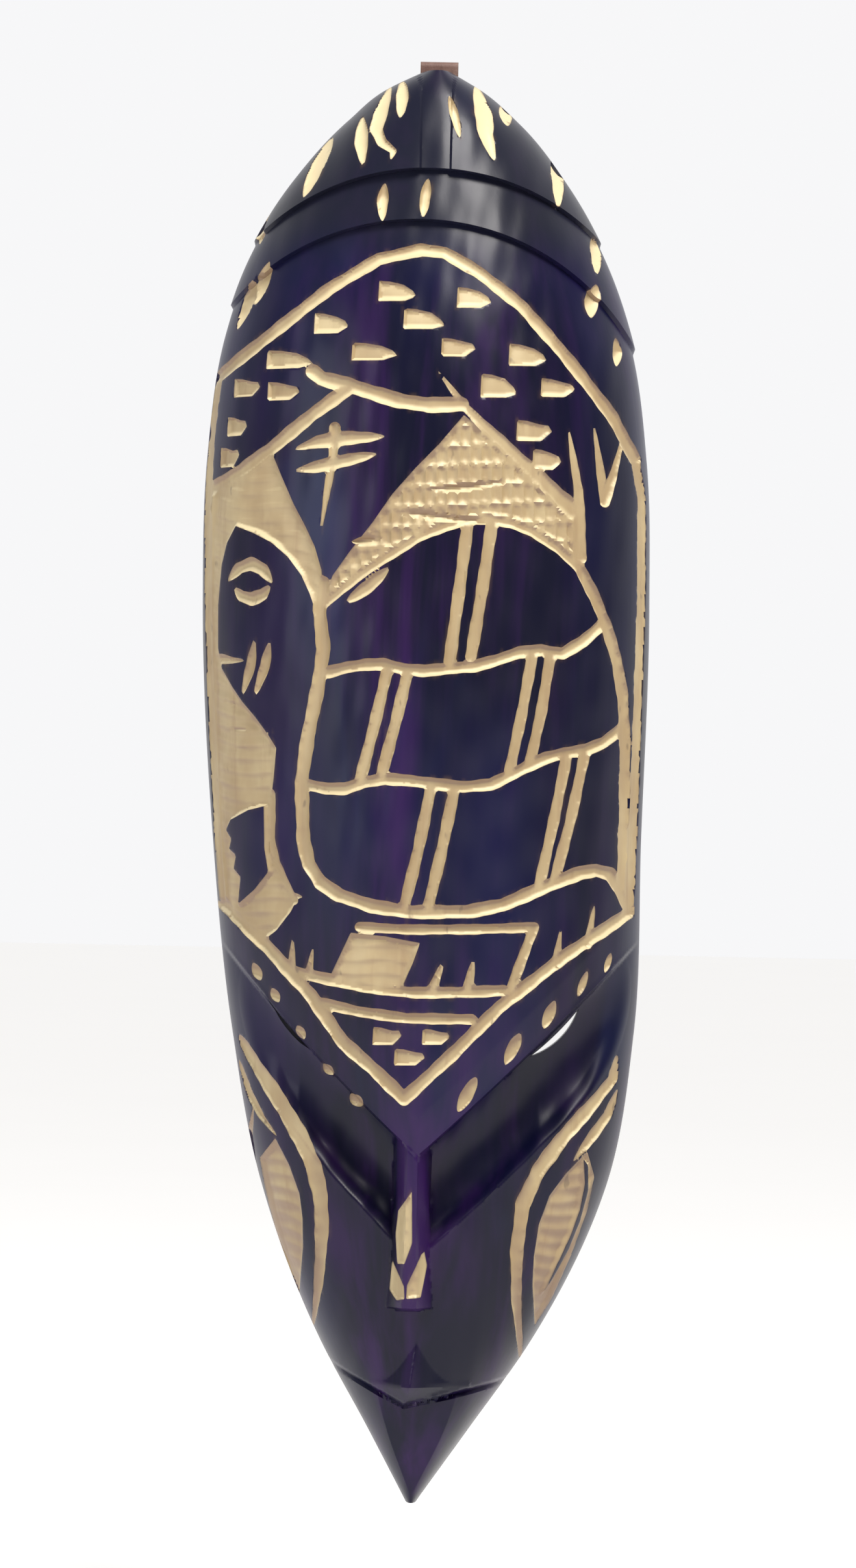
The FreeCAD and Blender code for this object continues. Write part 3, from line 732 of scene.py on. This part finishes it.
def carving(x, z):
    # edge: distance to the nearest cut's edge, negative in a cut; depth: how deep it is there
    edge = np.full(x.shape, 9.0)
    depth = np.zeros(x.shape)
    seed = 0
    for group in (hairCuts, borderCuts, browCuts, sceneCuts, cheekCuts, deepCuts):
        for kind, half, flat in group["strokes"]:
            seed += 1
            stroke = (kind, half, pairs(flat))
            floor = group["depth"] * min(1.0, 0.35 + half / 2.2)

            def trough(px, pz, stroke=stroke, seed=seed, floor=floor):
                cutEdge, share = strokeField(px, pz, stroke, seed)
                return cutEdge, share * floor
            addCut(edge, depth, x, z, stroke[2], 5.0, trough)
    for spec in notchCuts["notches"]:
        outline = notchOutline(*spec)

        def notch(px, pz, outline=outline, left=spec[0], right=spec[1]):
            cutEdge = areaField(px, pz, outline)
            fall = 1.0 - 0.55 * ramp(px, left, right)      # deepest at the flat side
            return cutEdge, np.clip(-cutEdge * 1.6, 0, notchCuts["depth"]) * fall
        addCut(edge, depth, x, z, outline, 3.0, notch)
    for number, flat in enumerate(clearedAreas["areas"] + noseCuts["areas"]):
        area = pairs(flat)

        def cleared(px, pz, area=area, number=number):
            cutEdge = areaField(px, pz, area)
            onHill, onNose = number == 0, number >= len(clearedAreas["areas"])
            floor = clearedAreas["depth"] - (0.25 if onNose else 0.45 if onHill else 0.0)
            marks = (hatchDepth if onHill else scrapeDepth)(px, pz)
            wall = np.clip(-cutEdge * clearedAreas["slope"], 0, floor)
            return cutEdge, wall + marks * ramp(-cutEdge, 0.4, 1.6)
        addCut(edge, depth, x, z, area, 3.0, cleared)
    for island in map(pairs, clearedAreas["islands"]):
        near = nearBox(x, z, island, 3.0)
        away = -areaField(x[near], z[near], island)
        edge[near] = np.maximum(edge[near], away)
        depth[near] = depth[near] * ramp(-edge[near], 0.0, 0.8)
    return edge, depth


# ---- the block's surface ----
# every point of the skin has a place around it (0 to 1 over the front from left to
# right, 1 to 2 back across the hollow) and a height; columns of the array below

backLayout = {"rimColumns": 5, "hollowColumns": 34, "rimShare": 0.14}


def frontBase(around, z):
    angle = np.clip(around, 0, 1) * np.pi
    left, right = (smoothCurve(block["stations"], column, z) for column in (1, 2))
    reach = np.where(angle < np.pi / 2, left, right)
    return angle, reach


def frontX(around, z):
    angle, reach = frontBase(around, z)
    return -reach * np.cos(angle)


def frontPlace(around, z):
    angle, reach = frontBase(around, z)
    sine, cosine = np.sin(angle), np.cos(angle)
    x = -reach * cosine
    deep = smoothCurve(block["stations"], 3, z)
    low = smoothCurve(block["stations"], 4, z)

    band = ramp(aboveArc(hair["bandEdge"], x, z), 0, hair["stepWidth"])
    cap = ramp(aboveArc(hair["capEdge"], x, z), 0, hair["stepWidth"])
    side = hair["bandSide"] * band + (hair["capSide"] - hair["bandSide"]) * cap
    rise = hair["bandRise"] * band + (hair["capRise"] - hair["bandRise"]) * cap
    upper = (deep + rise) * sine
    parting = cap * (1 - ramp(np.abs(x + 0.5), hair["partingHalf"], hair["partingHalf"] + 0.6))
    upper = upper - hair["partingDepth"] * parting

    below = belowBrow(x, z)
    lower = faceShape(x, z, low * sine)
    drop = ramp(below, 0, brow["stepWidth"])
    bevel = brow["bevel"] * ramp(below, brow["bevelFrom"], brow["bevelTo"]) * (1 - drop)
    depth = np.where(drop > 0, upper + (np.minimum(lower, upper + 9) - upper) * drop, upper)
    depth = depth - bevel * sine
    edge, cut = carving(x, z)
    edge = np.maximum(edge, face["sideLimit"] - depth)
    cut = np.where(edge < 0, cut, 0)

    wave = block["waviness"] * sumOfWaves(x, z, 5) * ramp(sine, 0.05, 0.5)
    facets = 0.22 * sumOfWaves(x, z * 0.6, 8, 6, 0.008, 0.03) * ramp(sine, 0.05, 0.5)
    normalX, normalD = -cosine * deep, sine * reach
    size = np.hypot(normalX, normalD) + 1e-6
    x = x - side * cosine - cut * normalX / size
    depth = np.maximum(depth, 0) + wave + facets - cut * normalD / size
    depth = np.where(sine < 0.004, 0, depth)
    return x, depth, edge, cut


def hollowSize(z):
    inside = (z > 38) & (z < 354)
    left, right, deep = (smoothCurve(block["hollow"], i, z) for i in (1, 2, 3))
    return np.where(inside, left, 0), np.where(inside, right, 0), np.where(inside, deep, 0)


def backPlace(around, z):
    # from the right edge in along the rim, over the hollow, and out to the left edge
    share = np.clip(around - 1, 0, 1)
    left, right, deep = hollowSize(z)
    outerRight, outerLeft = frontPlace(np.ones_like(z), z)[0], frontPlace(np.zeros_like(z), z)[0]
    rim = backLayout["rimShare"]
    angle = np.pi * ramp(share, rim, 1 - rim)
    x = np.where(angle < np.pi / 2, right, left) * np.cos(angle)
    depth = deep * np.sin(angle)
    scoops = np.abs(np.sin(x * 0.34 + 1.4 * np.sin(z * 0.05)))
    scoops *= np.abs(np.sin(z * 0.075 + np.floor(x / 9.2) * 1.3))
    marks = 0.9 * scoops + 0.15 * sumOfWaves(x, z, 3)
    depth = depth + marks * ramp(np.sin(angle), 0.15, 0.6) * ramp(deep, 4, 12)
    x = np.where(share < rim, outerRight + (right - outerRight) * share / rim, x)
    x = np.where(share > 1 - rim, outerLeft + (-left - outerLeft) * (1 - share) / rim, x)
    return x, depth


def planX(skin):
    # where each point stands in the front view, which is what the cuts are drawn in
    around, z = skin[:, 0], skin[:, 1]
    x = frontX(around, z)
    behind = around > 1
    x[behind] = backPlace(around[behind], z[behind])[0]
    return x


def skinPlace(skin):
    around, z = skin[:, 0], skin[:, 1]
    x, depth, edge, cut = (np.zeros(len(z)) for _ in range(4))
    front = around <= 1
    x[front], depth[front], edge[front], cut[front] = frontPlace(around[front], z[front])
    x[~front], depth[~front] = backPlace(around[~front], z[~front])
    edge[~front] = 9.0
    return x, depth, edge, cut


def frontOnly(skin, value):
    return np.where(skin[:, 0] <= 1, value, 9.0)


def buildSkin():
    height, cell = block["height"], block["cell"]
    rows = int(height / cell)
    z = np.linspace(0, height, rows + 1)
    frontColumns = int(182 / cell)
    rim = backLayout["rimShare"]
    back = np.concatenate([
        np.linspace(1, 1 + rim, backLayout["rimColumns"] + 1)[1:],
        np.linspace(1 + rim, 2 - rim, backLayout["hollowColumns"] + 1)[1:],
        np.linspace(2 - rim, 2, backLayout["rimColumns"] + 1)[1:-1]])
    around = np.concatenate([np.linspace(0, 1, frontColumns + 1), back])
    columns = len(around)
    skin = np.stack([np.tile(around, rows + 1), np.repeat(z, columns)], axis=1)
    row, column = np.meshgrid(np.arange(rows), np.arange(columns), indexing="ij")
    a = (row * columns + column).ravel()
    b = (row * columns + (column + 1) % columns).ravel()
    c, d = b + columns, a + columns
    flip = ((row + column) % 2 == 0).ravel()[:, None]
    first = np.where(flip, np.stack([a, b, c], 1), np.stack([a, b, d], 1))
    second = np.where(flip, np.stack([a, c, d], 1), np.stack([b, c, d], 1))
    ends = [capFan(0, columns, len(skin)), capFan(rows * columns, columns, len(skin) + 1)[:, ::-1]]
    skin = np.concatenate([skin, [[0.5, -1.0], [0.5, height + 1.0]]])
    return skin, np.concatenate([first, second] + ends)


def capFan(start, columns, centre):
    ring = start + np.arange(columns)
    return np.stack([np.full(columns, centre), np.roll(ring, -1), ring], axis=1)


# how near the line a point is drawn onto it, and how far it may move, in cells;
# the steps that slopes are measured over, and the mm in one unit around and up
split = {"near": 0.22, "reach": 0.3, "step": (0.0006, 0.1), "metric": (170.0, 1.0)}


def withoutFlat(triangles):
    # drops the triangles that use one point twice
    a, b, c = triangles.T
    return triangles[(a != b) & (b != c) & (a != c)]


def splitAlong(skin, triangles, field):
    # cuts the triangles along the line where the field is nought, after drawing
    # points that nearly lie on that line onto it
    skin = skin.copy()
    value = field(skin)
    cell = block["cell"]
    around, z = skin[:, 0], skin[:, 1]
    close = np.flatnonzero((np.abs(value) < split["near"] * cell) & (z > 0.5)
                           & (z < block["height"] - 0.5) & (around > 0.002) & (around < 0.998))
    step = np.array(split["step"])
    metric = np.array(split["metric"])
    slope = np.stack([(field(skin[close] + step * axis) - value[close]) / (step[i] * metric[i])
                      for i, axis in enumerate(np.eye(2))], axis=1)
    steep = (slope ** 2).sum(axis=1)
    move = -value[close][:, None] * slope / np.maximum(steep, 0.2)[:, None]
    move = np.clip(move, -split["reach"] * cell, split["reach"] * cell)
    skin[close] += move / metric
    value[close] = 0.0
    inside = value < 0
    count = inside[triangles].sum(axis=1)
    mixed = (count == 1) | (count == 2)
    cut = triangles[mixed]
    lone = (inside[cut] == (count[mixed] == 1)[:, None]).argmax(axis=1)
    cut = np.take_along_axis(cut, (lone[:, None] + np.arange(3)) % 3, axis=1)
    sides = np.concatenate([cut[:, [0, 1]], cut[:, [0, 2]]])
    edges, back = np.unique(np.sort(sides, axis=1), axis=0, return_inverse=True)
    back = back.reshape(-1)
    one, two = skin[edges[:, 0]].copy(), skin[edges[:, 1]].copy()
    wrapped = np.abs(one[:, 0] - two[:, 0]) > 1            # across the left rim, where 2 meets 0
    one[:, 0] += 2 * (wrapped & (one[:, 0] < 1))
    two[:, 0] += 2 * (wrapped & (two[:, 0] < 1))
    low, high = np.zeros(len(edges)), np.ones(len(edges))
    lowValue, highValue = value[edges[:, 0]], value[edges[:, 1]]
    share = lowValue / np.where(lowValue == highValue, 1, lowValue - highValue)
    for _ in range(2):
        middle = field(one + (two - one) * share[:, None])
        same = (middle < 0) == (lowValue < 0)
        low, lowValue = np.where(same, share, low), np.where(same, middle, lowValue)
        high, highValue = np.where(same, high, share), np.where(same, highValue, middle)
        gap = np.where(lowValue == highValue, 1, lowValue - highValue)
        share = np.clip(low + (high - low) * lowValue / gap, 0.02, 0.98)
    fresh = one + (two - one) * share[:, None]
    index = len(skin) + np.arange(len(edges))
    index = np.where(value[edges[:, 0]] == 0, edges[:, 0], index)
    index = np.where(value[edges[:, 1]] == 0, edges[:, 1], index)
    a, b = index[back[:len(cut)]], index[back[len(cut):]]
    one, two, three = cut.T
    parts = [np.stack(corners, 1) for corners in ((one, a, b), (a, two, three), (a, three, b))]
    triangles = np.concatenate([triangles[~mixed]] + parts)
    return np.concatenate([skin, fresh]), withoutFlat(triangles)


def featureLines():
    # the lines that the skin's triangles follow, so that steps and cuts have clean edges
    def arc(edge, offset):
        return lambda skin: aboveArc(edge, planX(skin), skin[:, 1]) - offset

    def browLine(offset):
        return lambda skin: belowBrow(planX(skin), skin[:, 1]) - offset

    def mouth(offset):
        def field(skin):
            x = planX(skin)
            above = skin[:, 1] - mouthLine(x) - offset
            return frontOnly(skin, np.where(np.abs(x) < 34, above, 9.0))
        return field

    def cuts(skin):
        x = planX(skin)
        edge = carving(x, skin[:, 1])[0]
        angle = np.clip(skin[:, 0], 0, 1) * np.pi
        depth = smoothCurve(block["stations"], 4, skin[:, 1]) * np.sin(angle)
        return frontOnly(skin, np.maximum(edge, face["sideLimit"] - depth))
    def partingLine(offset):
        def field(skin):
            x, z = planX(skin), skin[:, 1]
            below = -1.0 - aboveArc(hair["capEdge"], x, z)
            return np.maximum.reduce([np.abs(x + 0.5) - offset, below, z - 390.0, skin[:, 0] * 90 - 80])
        return field
    half = 1.14              # half the mouth crease's width
    lines = [partingLine(hair["partingHalf"]), partingLine(hair["partingHalf"] + 0.6)]
    for edge in (hair["bandEdge"], hair["capEdge"]):
        lines += [arc(edge, 0.0), arc(edge, hair["stepWidth"])]
    lines += [browLine(0.0), browLine(brow["stepWidth"]), mouth(-half), mouth(0.0), mouth(half), cuts]
    return lines


def toMetres(x, depth, z):
    return np.stack([x * mm, (block["wallY"] - depth) * mm, (z + block["chinZ"]) * mm], axis=1)


def makeMesh(name, points, triangles):
    mesh = bpy.data.meshes.new(name)
    mesh.vertices.add(len(points))
    mesh.vertices.foreach_set("co", points.astype(np.float32).ravel())
    mesh.loops.add(len(triangles) * 3)
    mesh.loops.foreach_set("vertex_index", triangles.astype(np.int32).ravel())
    mesh.polygons.add(len(triangles))
    mesh.polygons.foreach_set("loop_start", np.arange(0, len(triangles) * 3, 3, dtype=np.int32))
    mesh.update(calc_edges=True)
    thing = bpy.data.objects.new(name, mesh)
    bpy.context.collection.objects.link(thing)
    return thing


def weld(points, triangles, *values):
    # joins points that coincide and drops the triangles that this flattens
    keys = np.round(points * 1e7).astype(np.int64)
    _, first, back = np.unique(keys, axis=0, return_index=True, return_inverse=True)
    triangles = withoutFlat(back.reshape(-1)[triangles])
    return (points[first], triangles) + tuple(v[first] for v in values)


def setPointValues(mesh, name, values):
    mesh.attributes.new(name, "FLOAT", "POINT").data.foreach_set("value", values.astype(np.float32))


def prism(outline, near, far, lean=(0.0, 0.0), mouth=0.0):
    # a cutter: an outline in the front view, run between two depths, leaning from its mouth
    points = np.array([(x + lean[0] * (mouth - d), d, z + lean[1] * (mouth - d))
                       for d in (near, far) for x, z in outline], float)
    n = len(outline)
    triangles = []
    for i in range(n):
        j = (i + 1) % n
        triangles += [(i, j, n + j), (i, n + j, n + i)]
    for i in range(1, n - 1):
        triangles += [(0, i + 1, i), (n, n + i, n + i + 1)]
    return toMetres(points[:, 0], points[:, 1], points[:, 2]), np.array(triangles)


def slitCutter(side):
    px, pz = brow["point"]
    ex, ez = (brow["left"] if side < 0 else brow["right"])
    length = math.hypot(ex - px, ez - pz)
    alongX, alongZ = (ex - px) / length, (ez - pz) / length
    downX, downZ = (alongZ, -alongX) if side > 0 else (-alongZ, alongX)
    sag = 1.5
    outline = []
    steps = 14
    for i in range(2 * steps):
        share = i / steps if i <= steps else 2 - i / steps
        bulge = 4 * share * (1 - share)
        off = brow["slitBelow"] + sag + (0.6 if i <= steps else 0.6 + brow["slitWidth"]) * bulge
        run = brow["slitFrom"] + (share - 0.5) * brow["slitLength"]
        outline.append((px + alongX * run + downX * off, pz + alongZ * run + downZ * off))
    lean = -brow["leftLean"] if side < 0 else 0.0
    outline = outline if side < 0 else outline[::-1]
    return prism(outline, -20, 70, (downX * lean, downZ * lean), brow["slitMouth"])


seat = {"half": 9.5, "lowZ": 360.0, "highZ": 410.0, "depth": 6.5}


def cutThrough(thing, cutters):
    # each cutter's points, triangles and which of the block's materials it leaves
    for number, (points, triangles, finish) in enumerate(cutters):
        cutter = makeMesh(f"cutter{number}", points, triangles)
        cutter.data.materials.append(thing.data.materials[finish])
        modifier = thing.modifiers.new("cut", "BOOLEAN")
        modifier.object = cutter
        modifier.operation = "DIFFERENCE"
        modifier.solver = "MANIFOLD"
        bpy.context.view_layer.objects.active = thing
        bpy.ops.object.modifier_apply(modifier=modifier.name)
        bpy.data.objects.remove(cutter)


def buildBlock():
    skin, triangles = buildSkin()
    for line in featureLines():
        skin, triangles = splitAlong(skin, triangles, line)
    inner = (skin[:, 1] >= 0) & (skin[:, 1] <= block["height"])
    x, depth, edge, cut = skinPlace(np.stack([skin[:, 0], np.clip(skin[:, 1], 0, block["height"])], 1))
    depth = np.where(inner, depth, depth * 0.5)
    z = np.clip(skin[:, 1], 0, block["height"])
    points = toMetres(x, depth, z)
    deep = np.clip(cut / 1.1, 0, 1)
    worn = np.clip(1 - np.abs(edge) / 1.0, 0, 1)
    rimNear = np.clip(1 - (skin[:, 0] - 1) / 0.05, 0, 1) + np.clip((skin[:, 0] - 1.95) / 0.05, 0, 1)
    rimNear = np.where(skin[:, 0] <= 1, 1, rimNear)
    behind = skin[:, 0] > 1
    points, triangles, edge, deep, worn, rimNear, behind = weld(
        points, triangles, edge, deep, worn, rimNear, behind)
    thing = makeMesh("carved_block", points, triangles)
    mesh = thing.data
    for material in (stainedWood(), rawWood(), backWood()):
        mesh.materials.append(material)
    isBack = behind[triangles].any(axis=1)
    isCut = (edge[triangles].min(axis=1) < -1e-3) & (edge[triangles].max(axis=1) < 0.05) & ~isBack
    finish = np.where(isBack, 2, np.where(isCut, 1, 0)).astype(np.int32)
    mesh.polygons.foreach_set("material_index", finish)
    setPointValues(mesh, "edge", worn)
    setPointValues(mesh, "deep", deep)
    setPointValues(mesh, "rim", rimNear)
    before = len(mesh.polygons)
    half, low, high = seat["half"], seat["lowZ"], seat["highZ"]
    box = prism([(-half, low), (half, low), (half, high), (-half, high)], -30, seat["depth"])
    cutThrough(thing, [(*slitCutter(-1), 0), (*slitCutter(1), 0), (*box, 2)])
    mesh = thing.data
    mesh.polygons.foreach_set("use_smooth", np.ones(len(mesh.polygons), bool))
    mesh.set_sharp_from_angle(angle=math.radians(38))
    print("block:", before, "triangles, after the slits", len(mesh.polygons))
    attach(thing, "mask")
    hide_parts("mask_body")
    return thing


def finishHanger():
    for node, make in (("hanger_tab", tabLeather), ("hanger_ring", ringSteel),
                       ("upper_tack", tackBrass), ("lower_tack", tackBrass)):
        material, thing = make(), bpy.data.objects[node]
        if not thing.material_slots:
            thing.data.materials.append(material)
        for holder in thing.material_slots:
            holder.material = material
    print("hanger finished")


# ---- floor, light and camera ----

studio = {
    "floorDrop": 0.035, "floorHalf": 9.0, "floorColour": (0.78, 0.77, 0.75),
    "floorGlow": 0.5,
    "sky": (0.98, 0.98, 0.99), "skyBehind": 0.95, "skyBefore": 0.17,
    "viewMiddle": (0.8, 199.6, 25.0), "viewHeight": 432.2, "distance": 2.2, "roll": -1.15,
    # place (m from the mask's middle), size, watts
    "lights": [
        ((0.42, -0.75, 1.2), 0.6, 27.0, (1.0, 0.97, 0.93)),
        ((-1.0, -0.9, 0.35), 0.8, 6.5, (0.93, 0.96, 1.0)),
    ],
}


def buildStudio():
    middle = np.array([0, 0, (studio["viewMiddle"][1] + block["chinZ"]) * mm])
    half = studio["floorHalf"]
    points = np.array([(-half, -half, 0), (half, -half, 0), (half, half, 0), (-half, half, 0)], float)
    points[:, 2] = block["chinZ"] * mm - studio["floorDrop"]
    floor = makeMesh("studio_floor", points, np.array([(0, 1, 2), (0, 2, 3)]))
    s = Shader("floor paint")
    tone = s.noise(6, (1, 1, 1), 2.0)
    pale = tuple(c * 1.04 for c in studio["floorColour"])
    s.surface.inputs["Emission Color"].default_value = (1.0, 0.99, 0.98, 1.0)
    s.surface.inputs["Emission Strength"].default_value = studio["floorGlow"]
    paint = s.mix(tone, studio["floorColour"], pale)
    floor.data.materials.append(s.finish(colour=paint, rough=0.9, gloss=0.1))
    world = bpy.data.worlds.new("studio air")
    bpy.context.scene.world = world
    world.use_nodes = True
    air = world.node_tree.nodes["Background"]
    air.inputs["Color"].default_value = (*studio["sky"], 1)
    # paler beyond the mask than in front of it, as in a room with one light wall
    way = world.node_tree.nodes.new("ShaderNodeTexCoord")
    parts = world.node_tree.nodes.new("ShaderNodeSeparateXYZ")
    fade = world.node_tree.nodes.new("ShaderNodeMapRange")
    fade.interpolation_type = "SMOOTHSTEP"
    limits = (-0.35, 0.55, studio["skyBefore"], studio["skyBehind"])
    for socket, value in zip(list(fade.inputs)[1:5], limits):
        socket.default_value = value
    world.node_tree.links.new(way.outputs["Generated"], parts.inputs[0])
    world.node_tree.links.new(parts.outputs[1], fade.inputs[0])
    world.node_tree.links.new(fade.outputs[0], air.inputs["Strength"])
    for number, (place, size, watts, colour) in enumerate(studio["lights"]):
        lamp = bpy.data.lights.new(f"softbox{number}", "AREA")
        lamp.size, lamp.energy, lamp.color = size, watts, colour
        thing = bpy.data.objects.new(lamp.name, lamp)
        thing.location = middle + np.array(place)
        aim = Vector((middle - np.array(thing.location)).tolist())
        thing.rotation_euler = aim.to_track_quat("-Z", "Y").to_euler()
        bpy.context.collection.objects.link(thing)
    print("studio ready")


def placeCamera():
    x, z, depth = studio["viewMiddle"]
    target = toMetres(np.array([x]), np.array([depth]), np.array([z]))[0]
    camera = bpy.data.cameras.new("view")
    camera.sensor_fit = "VERTICAL"
    camera.sensor_height = 36.0
    camera.lens = 36.0 * studio["distance"] / (studio["viewHeight"] * mm)
    camera.clip_end = 50
    thing = bpy.data.objects.new("view", camera)
    thing.location = (target[0], target[1] - studio["distance"], target[2])
    thing.rotation_euler = (math.radians(90), math.radians(studio["roll"]), 0)
    bpy.context.collection.objects.link(thing)
    bpy.context.scene.camera = thing
    bpy.context.scene.view_settings.view_transform = "Standard"


buildBlock()
finishHanger()
buildStudio()
placeCamera()
